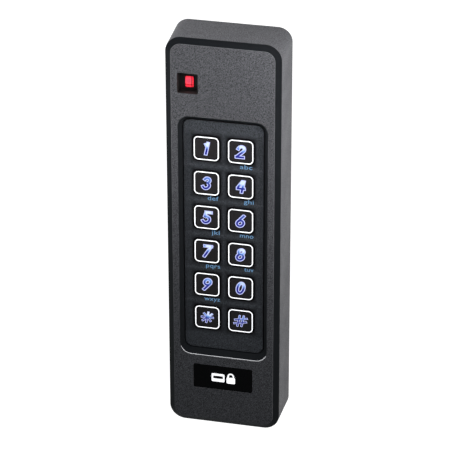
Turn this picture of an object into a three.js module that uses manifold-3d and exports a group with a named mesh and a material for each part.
// A tall, slim keypad access reader for a door mullion, as an assembly of separate pieces.
// Millimetres. X is to the right as the keys are read, Z is up, and the wall is the plane Y = 0,
// with the origin at the middle of the back. The front of the reader looks along -Y.
import * as THREE from 'three';
import { mergeVertices } from 'three/addons/utils/BufferGeometryUtils.js';
import Module from 'manifold-3d';

const wasm = await Module();
wasm.setup();

// Housing: its back outline, the outline where the front bevel starts, and its flat face.
const housingDepth = 18.85;
const housingHeight = 164.5;
const backWidth = 44.8;
const backRadius = 5.5;
const edgeWidth = 44.0;
const edgeRadius = 6.2;
const bevelDepth = 1.35;
const bevelWidth = 2.33;
const wall = 2.0;
const faceThickness = 2.4;
const gap = 0.3; // between pieces that touch
const past = 1; // how far a cutter runs beyond what it cuts, and a joined piece into its neighbour

const faceY = -housingDepth;
const edgeY = faceY + bevelDepth;
const ceilingY = faceY + faceThickness;

// Keypad recess in the face, the panel at its bottom, and the keys in the panel.
const recess = { width: 34.31, top: 51.0, bottom: -51.35, radius: 4.4 };
const panel = { width: 30.94, top: 49.35, bottom: -48.6, radius: 3.3 };
const recessDepth = 1.35;
const panelY = faceY + recessDepth;
const panelThickness = 2.55;
const flangeThickness = 1.2;
const flangeMargin = 1.9;
const keyPitchX = 13.18;
const keyPitchZ = 14.53;
const keyGridZ = 1.49;
const keyNames = ['1', '2', '3', '4', '5', '6', '7', '8', '9', '0', 'star', 'hash'];
const keySize = 10.2;
const keyRadius = 2.0;
const keyProud = 0.25;
const ringWidth = 0.85;
const capGap = 0.15;
const capDepth = 1.3;
const keyFlange = 11.8;
const keyFlangeThickness = 0.8;
const stemRadius = 1.8;
const stemSides = 12;
const keyRows = 6;

// Rubber dome mat and main board, one behind the other.
const boardFrontY = -11.2;
const boardThickness = 1.6;
const boardRearY = boardFrontY + boardThickness;
const partsY = boardRearY + gap;
const board = { width: 38.4, top: 78.5, bottom: -66, radius: 2 };
const matThickness = 0.6;
const matMargin = 2;
const matWindow = { width: 2.8, height: 2.2 };
const matFrontY = boardFrontY - gap - matThickness;
const domeHeight = 1.2;
const domeRadius = 4.0;
const domeTopRadius = 2.6;
const backlight = { width: 2, height: 1.4, thickness: 0.7 };

// Status light at the upper left and name plate at the bottom.
const light = { x: -13.33, z: 64.33, width: 7.75, height: 8.05, radius: 0.3, depth: 3.1 };
const lens = { z: 63.7, width: 3.2, height: 4.4, radius: 0.6, flange: 0.85, flangeThickness: 0.8 };
const shield = { margin: 1.3, radius: 1, floor: 0.85, chamberWidth: 6.8, chamberHeight: 7.2 };
const statusLed = { width: 3.2, height: 2.8 };
const plate = { x: -0.25, z: -60.9, width: 23.4, height: 10.5, radius: 0.5, thickness: 0.3 };

// Four screws hold the board to bosses inside the cover.
const boss = { x: 16.2, upperZ: 54.6, lowerZ: -55, radius: 2.4, pilot: 1.3, tipWall: 0.8 };
const boardScrew = { head: 2.1, headThickness: 1.3, shank: 1, tipY: -15 };
const cross = { length: 2.2, width: 0.5, depth: 0.7 };

// Base plate on the wall, its cable hole, its screw slots and the hole over the tamper sensor.
const baseThickness = 2.5;
const baseFrontY = -baseThickness;
const slot = { spacing: 83.3, length: 9, width: 4 };
const cableHole = { z: -25, radius: 6.3, seatRadius: 8.2, seatDepth: 1.0, bore: 4.2 };
const tamper = { x: 12, z: -20, radius: 1.9 };
const grommetLipThickness = 1;
const seal = { width: 1.2, thickness: 1.2, inset: 0.2, radius: 3 };

// The cover hangs on two hooks at the top of the base plate and locks with a screw from below.
const hook = { x: 12, width: 6, thickness: 2, frontY: -6.4, lipRearY: -5, reach: 0.7, margin: 0.7 };
const tower = { width: 9, height: 8, frontY: -11 };
const lock = { y: -7.5, hole: 1.6, seat: 3.4, seatRise: 0.4, recess: 0.15 };
const lockScrew = { head: 2.8, neck: 1.3, headHeight: 1.4, shank: 1.2, socket: 0.95, socketDepth: 0.9 };

// How finely round shapes are divided.
const cornerSteps = 6;
const smallCornerSteps = 4;
const keyCornerSteps = 3;
const roundSides = 24;
const smallSides = 16;
const domeSides = 14;

// ---------------------------------------------------------------- shapes

// Points of a rectangle with round corners, anticlockwise with X right and Z up.
function outline(width, height, radius, steps = cornerSteps) {
  const points = [];
  const corners = [[1, 1], [-1, 1], [-1, -1], [1, -1]];
  corners.forEach(([sideX, sideZ], corner) => {
    for (let step = 0; step <= steps; step += 1) {
      const angle = (corner + step / steps) * (Math.PI / 2);
      const x = sideX * (width / 2 - radius) + radius * Math.cos(angle);
      const z = sideZ * (height / 2 - radius) + radius * Math.sin(angle);
      points.push(new THREE.Vector2(x, z));
    }
  });
  return points;
}

// A solid through a row of round-cornered sections, each { y, width, height, radius, z },
// given from the back of the reader towards its front.
function loft(sections, steps = cornerSteps) {
  const rings = sections.map((s) => outline(s.width, s.height, s.radius, steps));
  const count = rings[0].length;
  const positions = rings.flatMap((ring, i) => (
    ring.flatMap((p) => [p.x, sections[i].y, p.y + (sections[i].z ?? 0)])
  ));
  const triangles = [];
  for (let i = 0; i + 1 < rings.length; i += 1) {
    for (let j = 0; j < count; j += 1) {
      const rear = i * count;
      const front = rear + count;
      const next = (j + 1) % count;
      triangles.push(rear + j, rear + next, front + next, rear + j, front + next, front + j);
    }
  }
  const last = (rings.length - 1) * count;
  for (const [a, b, c] of THREE.ShapeUtils.triangulateShape(rings[0], [])) triangles.push(c, b, a);
  for (const [a, b, c] of THREE.ShapeUtils.triangulateShape(rings.at(-1), [])) {
    triangles.push(last + a, last + b, last + c);
  }
  const geometry = new THREE.BufferGeometry();
  geometry.setAttribute('position', new THREE.Float32BufferAttribute(positions, 3));
  geometry.setIndex(triangles);
  return geometry;
}

// A straight block with round corners between two depths.
function block(width, height, radius, rearY, frontY, x = 0, z = 0, steps = cornerSteps) {
  const shape = new THREE.Shape(outline(width, height, radius, steps));
  const geometry = new THREE.ExtrudeGeometry(shape, { depth: rearY - frontY, bevelEnabled: false });
  geometry.rotateX(Math.PI / 2);
  geometry.translate(x, rearY, z);
  return geometry;
}

// A plain box given by its middle in X and Z and its two depths.
function box(width, height, rearY, frontY, x = 0, z = 0) {
  const geometry = new THREE.BoxGeometry(width, rearY - frontY, height);
  geometry.translate(x, (rearY + frontY) / 2, z);
  return geometry;
}

// A disc or a cone whose axis is the reader's depth.
function disc(rearRadius, frontRadius, rearY, frontY, x = 0, z = 0, sides = roundSides) {
  const geometry = new THREE.CylinderGeometry(rearRadius, frontRadius, rearY - frontY, sides);
  geometry.translate(x, (rearY + frontY) / 2, z);
  return geometry;
}

// A disc or a cone whose axis is vertical.
function post(topRadius, bottomRadius, bottomZ, topZ, x, y, sides = roundSides) {
  const geometry = new THREE.CylinderGeometry(topRadius, bottomRadius, topZ - bottomZ, sides);
  geometry.rotateX(Math.PI / 2);
  geometry.translate(x, y, (bottomZ + topZ) / 2);
  return geometry;
}

// A ring turned about the depth axis, from a closed profile of [radius, y] corners.
function turned(profile, z, sides = roundSides) {
  const points = [...profile, profile[0]].map(([radius, y]) => new THREE.Vector2(radius, y));
  const geometry = new THREE.LatheGeometry(points, sides);
  geometry.translate(0, 0, z);
  return geometry;
}

// ---------------------------------------------------------------- solids

function solid(geometry) {
  const bare = geometry.clone();
  for (const name of ['normal', 'uv']) bare.deleteAttribute(name);
  const merged = mergeVertices(bare, 1e-4);
  return new wasm.Manifold(new wasm.Mesh({
    numProp: 3,
    vertProperties: new Float32Array(merged.attributes.position.array),
    triVerts: new Uint32Array(merged.index.array),
  }));
}

function joined(base, ...pieces) {
  return pieces.reduce((sum, piece) => sum.add(solid(piece)), solid(base));
}

function cut(from, ...pieces) {
  return pieces.reduce((rest, piece) => rest.subtract(solid(piece)), from);
}

function geometryOf(manifold) {
  const { vertProperties, triVerts } = manifold.getMesh();
  const geometry = new THREE.BufferGeometry();
  geometry.setAttribute('position', new THREE.BufferAttribute(vertProperties, 3));
  geometry.setIndex(new THREE.BufferAttribute(triVerts, 1));
  geometry.computeVertexNormals();
  return geometry;
}

// ---------------------------------------------------------------- materials

function finish(color, roughness, metalness = 0) {
  return new THREE.MeshStandardMaterial({ color, roughness, metalness });
}

const charcoal = finish(0x3a3b3e, 0.6);
const panelGrey = finish(0x2a2c30, 0.7);
const keyWhite = finish(0xf2f4ff, 0.4);
const keyDark = finish(0x2b2b2e, 0.5);
const gloss = finish(0x050506, 0.1);
const black = finish(0x101012, 0.7);
const baseGrey = finish(0x1d1d1f, 0.7);
const redLens = finish(0xe03048, 0.2);
const silicone = finish(0xcfd4d8, 0.6);
const rubber = finish(0x161616, 0.8);
const boardGreen = finish(0x1f5a35, 0.4);
const chipBlack = finish(0x15161a, 0.5);
const copper = finish(0xb5672f, 0.35, 0.9);
const steel = finish(0xb8bbc0, 0.3, 1);
const nylon = finish(0xe8e4d8, 0.5);

const reader = new THREE.Group();

function add(name, manifold, material, parent = reader) {
  const mesh = new THREE.Mesh(geometryOf(manifold), material);
  mesh.name = name;
  parent.add(mesh);
  return mesh;
}

// ---------------------------------------------------------------- front cover

const screwPlaces = [boss.upperZ, boss.lowerZ].flatMap((z) => [[-boss.x, z], [boss.x, z]]);

function bossAt([x, z]) {
  return disc(boss.radius, boss.radius, boardFrontY - gap, ceilingY - past, x, z, smallSides);
}

function pilotAt([x, z]) {
  return disc(boss.pilot, boss.pilot, boardFrontY, ceilingY + boss.tipWall, x, z, smallSides);
}

function hookPocket(x) {
  const middleZ = housingHeight / 2 - wall / 2 - past;
  return box(hook.width + 2 * gap, wall, hook.lipRearY + gap, hook.frontY - gap, x, middleZ);
}

const outside = loft([
  { y: -gap, width: backWidth, height: housingHeight, radius: backRadius },
  { y: edgeY, width: edgeWidth, height: housingHeight, radius: edgeRadius },
  {
    y: faceY,
    width: edgeWidth - 2 * bevelWidth,
    height: housingHeight - 2 * bevelWidth,
    radius: edgeRadius - bevelWidth,
  },
]);
const inside = loft([
  { y: past, width: backWidth - 2 * wall, height: housingHeight - 2 * wall, radius: backRadius - wall },
  {
    y: ceilingY,
    width: edgeWidth - 2 * wall,
    height: housingHeight - 2 * wall,
    radius: edgeRadius - wall,
  },
]);
const panelHeight = panel.top - panel.bottom;
const panelZ = (panel.top + panel.bottom) / 2;
const recessCut = loft([
  { y: panelY, width: panel.width, height: panelHeight, radius: panel.radius, z: panelZ },
  {
    y: faceY,
    width: recess.width,
    height: recess.top - recess.bottom,
    radius: recess.radius,
    z: (recess.top + recess.bottom) / 2,
  },
]);
const panelWindow = block(
  panel.width, panelHeight, panel.radius, ceilingY + past, panelY - gap / 10, 0, panelZ,
);
const lightWindow = block(
  light.width, light.height, light.radius, ceilingY + past, faceY - past, light.x, light.z, 2,
);
const plateSeat = block(
  plate.width + 2 * gap, plate.height + 2 * gap, plate.radius + gap,
  faceY + plate.thickness + gap, faceY - past, plate.x, plate.z, smallCornerSteps,
);
const bottomZ = -housingHeight / 2;
const lockHole = post(lock.hole, lock.hole, bottomZ - past, bottomZ + wall + past, 0, lock.y);
const lockSeat = post(
  lock.hole, lock.seat, bottomZ - lock.seatRise, bottomZ + lockScrew.headHeight, 0, lock.y,
);
const coverShell = cut(solid(outside), inside);
const coverBosses = screwPlaces.map(bossAt).reduce((sum, piece) => sum.add(solid(piece)), coverShell);
add('front_cover', cut(
  coverBosses,
  recessCut,
  panelWindow,
  lightWindow,
  plateSeat,
  lockHole,
  lockSeat,
  ...screwPlaces.map(pilotAt),
  hookPocket(-hook.x),
  hookPocket(hook.x),
), charcoal);

// ---------------------------------------------------------------- keypad panel and keys

const keyPlaces = keyNames.map((name, i) => ({
  name,
  x: (i % 2 - 0.5) * keyPitchX,
  z: keyGridZ + ((keyRows - 1) / 2 - Math.floor(i / 2)) * keyPitchZ,
}));
const flangeRearY = panelY + panelThickness;
const panelBody = joined(
  block(panel.width - 2 * gap, panelHeight - 2 * gap, panel.radius - gap, flangeRearY, panelY, 0, panelZ),
  block(
    panel.width + 2 * flangeMargin, panelHeight + 2 * flangeMargin, panel.radius,
    flangeRearY, flangeRearY - flangeThickness, 0, panelZ,
  ),
);
const keyHole = keySize + 2 * gap;
add('keypad_panel', cut(panelBody, ...keyPlaces.map(({ x, z }) => (
  block(keyHole, keyHole, keyRadius + gap, flangeRearY + past, panelY - past, x, z, keyCornerSteps)
))), panelGrey);

// Each key is a clear white button with a dark cap let into its front, so that its rim lights up.
const keyFrontY = panelY - keyProud;
const keyFlangeRearY = flangeRearY + gap + keyFlangeThickness;
const stemRearY = matFrontY - domeHeight - gap;
const capSeat = keySize - 2 * ringWidth;
const buttonSolid = cut(
  joined(
    block(keySize, keySize, keyRadius, keyFlangeRearY, keyFrontY, 0, 0, keyCornerSteps),
    block(
      keyFlange, keyFlange, keyRadius,
      keyFlangeRearY, keyFlangeRearY - keyFlangeThickness, 0, 0, keyCornerSteps,
    ),
    disc(stemRadius, stemRadius, stemRearY, keyFlangeRearY - keyFlangeThickness / 2, 0, 0, stemSides),
  ),
  block(
    capSeat, capSeat, keyRadius - ringWidth,
    keyFrontY + capDepth + capGap, keyFrontY - past, 0, 0, keyCornerSteps,
  ),
);
const capSize = capSeat - 2 * capGap;
const capSolid = solid(block(
  capSize, capSize, keyRadius - ringWidth - capGap,
  keyFrontY + capDepth, keyFrontY, 0, 0, keyCornerSteps,
));
for (const { name, x, z } of keyPlaces) {
  const key = new THREE.Group();
  key.position.set(x, 0, z);
  reader.add(key);
  add(`key_${name}_button`, buttonSolid, keyWhite, key);
  add(`key_${name}_cap`, capSolid, keyDark, key);
}

// ---------------------------------------------------------------- dome mat, main board and lights

const matWidth = keyPitchX + keySize + 2 * matMargin;
const matHeight = (keyRows - 1) * keyPitchZ + keySize + 2 * matMargin;
const domes = keyPlaces.map(({ x, z }) => (
  disc(domeRadius, domeTopRadius, matFrontY + matThickness / 3, matFrontY - domeHeight, x, z, domeSides)
));
const backlightZs = keyPlaces.filter((place, i) => i % 2 === 0).map((place) => place.z);
const matWindows = backlightZs.map((z) => (
  box(matWindow.width, matWindow.height, boardFrontY, matFrontY - past, 0, z)
));
const matSheet = block(
  matWidth, matHeight, matMargin, boardFrontY - gap, matFrontY, 0, keyGridZ, smallCornerSteps,
);
add('dome_mat', cut(joined(matSheet, ...domes), ...matWindows), silicone);

const boardZ = (board.top + board.bottom) / 2;
const boardBlank = block(
  board.width, board.top - board.bottom, board.radius,
  boardRearY, boardFrontY, 0, boardZ, smallCornerSteps,
);
add('main_board', cut(solid(boardBlank), ...screwPlaces.map(([x, z]) => (
  disc(boss.pilot, boss.pilot, boardRearY + past, boardFrontY - past, x, z, smallSides)
))), boardGreen);

backlightZs.forEach((z, i) => {
  const rearY = boardFrontY - gap;
  add(`backlight_led_${i + 1}`, solid(
    box(backlight.width, backlight.height, rearY, rearY - backlight.thickness, 0, z),
  ), nylon);
});

const lensY = faceY + light.depth;
const shieldFloorY = lensY + gap;
const shieldFrontY = ceilingY + gap;
const shieldBackY = boardFrontY - gap;
const chamberY = shieldFloorY + shield.floor;
const lensFlangeFrontY = chamberY + gap;
const lensFlangeY = lensFlangeFrontY + lens.flangeThickness;
add('light_shield', cut(
  solid(block(
    light.width + 2 * shield.margin, light.height + 2 * shield.margin, shield.radius,
    shieldBackY, shieldFrontY, light.x, light.z, keyCornerSteps,
  )),
  block(light.width, light.height, light.radius, shieldFloorY, shieldFrontY - past, light.x, light.z, 2),
  block(
    lens.width + 2 * gap, lens.height + 2 * gap, lens.radius + gap,
    shieldBackY, shieldFrontY - past, light.x, lens.z, keyCornerSteps,
  ),
  box(shield.chamberWidth, shield.chamberHeight, shieldBackY + past, chamberY, light.x, lens.z),
), black);
add('status_lens', joined(
  block(lens.width, lens.height, lens.radius, lensFlangeY, lensY, light.x, lens.z, smallCornerSteps),
  block(
    lens.width + 2 * lens.flange, lens.height + 2 * lens.flange, lens.radius,
    lensFlangeY, lensFlangeFrontY, light.x, lens.z, smallCornerSteps,
  ),
), redLens);
add('status_led', solid(
  box(statusLed.width, statusLed.height, shieldBackY, lensFlangeY + gap, light.x, lens.z),
), nylon);

add('name_plate', solid(block(
  plate.width, plate.height, plate.radius,
  faceY + plate.thickness, faceY, plate.x, plate.z, smallCornerSteps,
)), gloss);

// ---------------------------------------------------------------- parts on the back of the board

const former = {
  width: 30, height: 14, z: 66.3, radius: 3, thickness: 5.2, lip: 2.2, lipThickness: 0.8, wall: 1.4,
};
const formerRearY = partsY + former.thickness;
const lipWidth = former.width + 2 * former.lip;
const lipHeight = former.height + 2 * former.lip;
function formerBlock(width, height, radius, rearY, frontY) {
  return block(width, height, radius, rearY, frontY, 0, former.z, smallCornerSteps);
}
add('antenna_former', cut(
  joined(
    formerBlock(former.width, former.height, former.radius, formerRearY, partsY),
    formerBlock(lipWidth, lipHeight, former.radius + 1, partsY + former.lipThickness, partsY),
    formerBlock(lipWidth, lipHeight, former.radius + 1, formerRearY, formerRearY - former.lipThickness),
  ),
  formerBlock(
    former.width - 2 * former.wall, former.height - 2 * former.wall, former.radius - 1,
    formerRearY + past, partsY - past,
  ),
), nylon);
const coilFrontY = partsY + former.lipThickness + gap;
const coilRearY = formerRearY - former.lipThickness - gap;
const coilInset = 0.5;
add('antenna_winding', cut(
  solid(formerBlock(
    lipWidth - 2 * coilInset, lipHeight - 2 * coilInset, former.radius + coilInset, coilRearY, coilFrontY,
  )),
  formerBlock(
    former.width + 2 * gap, former.height + 2 * gap, former.radius + gap,
    coilRearY + past, coilFrontY - past,
  ),
), copper);

// Plain rectangular parts: width, height, thickness and place.
const chips = [
  ['controller_chip', 10, 10, 1.5, -6, 32, chipBlack],
  ['radio_chip', 6.2, 8.7, 1.6, 9, 45, chipBlack],
  ['crystal', 11, 4.6, 3.6, 8, 27, steel],
  ['voltage_regulator', 6.5, 7, 2.3, -10, -40, chipBlack],
  ['tamper_sensor', 4, 5, 2.4, tamper.x, tamper.z, chipBlack],
];
for (const [name, width, height, thickness, x, z, material] of chips) {
  add(name, solid(block(width, height, 0.3, partsY + thickness, partsY, x, z, 1)), material);
}

const connector = { width: 21, height: 6.4, radius: 0.4, thickness: 5.4, z: -4, floor: 1.4, rim: 0.9 };
add('wire_connector', cut(
  solid(block(
    connector.width, connector.height, connector.radius,
    partsY + connector.thickness, partsY, 0, connector.z, 2,
  )),
  box(
    connector.width - 2 * connector.rim, connector.height - 2 * connector.rim,
    partsY + connector.thickness + past, partsY + connector.floor, 0, connector.z,
  ),
), nylon);

const drums = [
  ['supply_capacitor', 3.15, 5.4, 10, -38, steel],
  ['filter_capacitor', 3.15, 5.4, 2, -38, steel],
];
for (const [name, radius, thickness, x, z, material] of drums) {
  add(name, solid(disc(radius, radius, partsY + thickness, partsY, x, z)), material);
}
const buzzer = { x: -5, z: -57.5, radius: 6, thickness: 5.2, hole: 1, floor: 3.2 };
add('buzzer', cut(
  solid(disc(buzzer.radius, buzzer.radius, partsY + buzzer.thickness, partsY, buzzer.x, buzzer.z)),
  disc(
    buzzer.hole, buzzer.hole, partsY + buzzer.thickness + past, partsY + buzzer.floor,
    buzzer.x, buzzer.z, smallSides,
  ),
), chipBlack);

// Pan-head screws through the board into the cover's bosses.
const screwHeadY = partsY + boardScrew.headThickness;
const crossY = screwHeadY - cross.depth;
screwPlaces.forEach(([x, z], i) => {
  const head = disc(boardScrew.head, boardScrew.head, screwHeadY, partsY, x, z, smallSides);
  const shankRearY = partsY + boardScrew.headThickness / 2;
  const shank = disc(boardScrew.shank, boardScrew.shank, shankRearY, boardScrew.tipY, x, z, smallSides);
  const across = box(cross.length, cross.width, screwHeadY + past, crossY, x, z);
  const upright = box(cross.width, cross.length, screwHeadY + past, crossY, x, z);
  add(`board_screw_${i + 1}`, cut(joined(head, shank), across, upright), steel);
});

// ---------------------------------------------------------------- base plate and its fittings

const baseWidth = backWidth - 2 * wall - 2 * gap;
const baseHeight = housingHeight - 2 * wall - 2 * gap;
const sealRearY = baseFrontY - gap;
const sealFrontY = sealRearY - seal.thickness;
const sealOuterWidth = baseWidth - 2 * seal.inset;
const sealOuterHeight = baseHeight - 2 * seal.inset;
add('cover_seal', cut(
  solid(block(sealOuterWidth, sealOuterHeight, seal.radius, sealRearY, sealFrontY)),
  block(
    sealOuterWidth - 2 * seal.width, sealOuterHeight - 2 * seal.width, seal.radius - seal.width,
    sealRearY + past, sealFrontY - past,
  ),
), rubber);

const innerZ = baseHeight / 2 - seal.width - hook.margin;
const hookZ = innerZ - hook.thickness / 2;
function hookArm(x) {
  return box(hook.width, hook.thickness, baseFrontY + past, hook.frontY, x, hookZ);
}
function hookLip(x) {
  const lipTop = housingHeight / 2 - wall + hook.reach;
  return box(hook.width, lipTop - hookZ, hook.lipRearY, hook.frontY, x, (lipTop + hookZ) / 2);
}
const towerTop = -innerZ + tower.height;
const towerBlock = box(
  tower.width, tower.height, baseFrontY + past, tower.frontY, 0, towerTop - tower.height / 2,
);
const towerHole = post(lock.hole, lock.hole, -innerZ - past, towerTop + past, 0, lock.y);
function slotAt(z) {
  return block(slot.width, slot.length, slot.width / 2 - 0.01, past, baseFrontY - past, 0, z);
}
add('base_plate', cut(
  joined(
    block(baseWidth, baseHeight, backRadius - wall - gap, 0, baseFrontY),
    hookArm(-hook.x), hookArm(hook.x), hookLip(-hook.x), hookLip(hook.x), towerBlock,
  ),
  disc(cableHole.radius, cableHole.radius, past, baseFrontY - past, 0, cableHole.z),
  disc(cableHole.seatRadius, cableHole.seatRadius, past, -cableHole.seatDepth, 0, cableHole.z),
  slotAt(slot.spacing / 2),
  slotAt(-slot.spacing / 2),
  disc(tamper.radius, tamper.radius, past, baseFrontY - past, tamper.x, tamper.z, smallSides),
  towerHole,
), baseGrey);

// Rubber grommet round the hole for the lead, with a lip on each side of the base plate.
const grommetRearY = -0.05;
const grommetSeatY = -cableHole.seatDepth + gap;
const grommetNeck = cableHole.radius - gap;
const grommetLip = cableHole.seatRadius - gap;
const grommetFrontY = baseFrontY - gap - grommetLipThickness;
add('cable_grommet', solid(turned([
  [cableHole.bore, grommetRearY],
  [cableHole.bore, grommetFrontY],
  [grommetLip, grommetFrontY],
  [grommetLip, baseFrontY - gap],
  [grommetNeck, baseFrontY - gap],
  [grommetNeck, grommetSeatY],
  [grommetLip, grommetSeatY],
  [grommetLip, grommetRearY],
], cableHole.z)), rubber);

// Countersunk security screw up through the bottom of the cover into the tower.
const screwBottom = bottomZ + lock.recess;
const neckZ = screwBottom + lockScrew.headHeight;
add('cover_screw', cut(
  joined(
    post(lockScrew.neck, lockScrew.head, screwBottom, neckZ, 0, lock.y),
    post(lockScrew.shank, lockScrew.shank, neckZ - gap, towerTop - past, 0, lock.y, smallSides),
  ),
  post(
    lockScrew.socket, lockScrew.socket, screwBottom - past, screwBottom + lockScrew.socketDepth,
    0, lock.y, 6,
  ),
), steel);

export default reader;
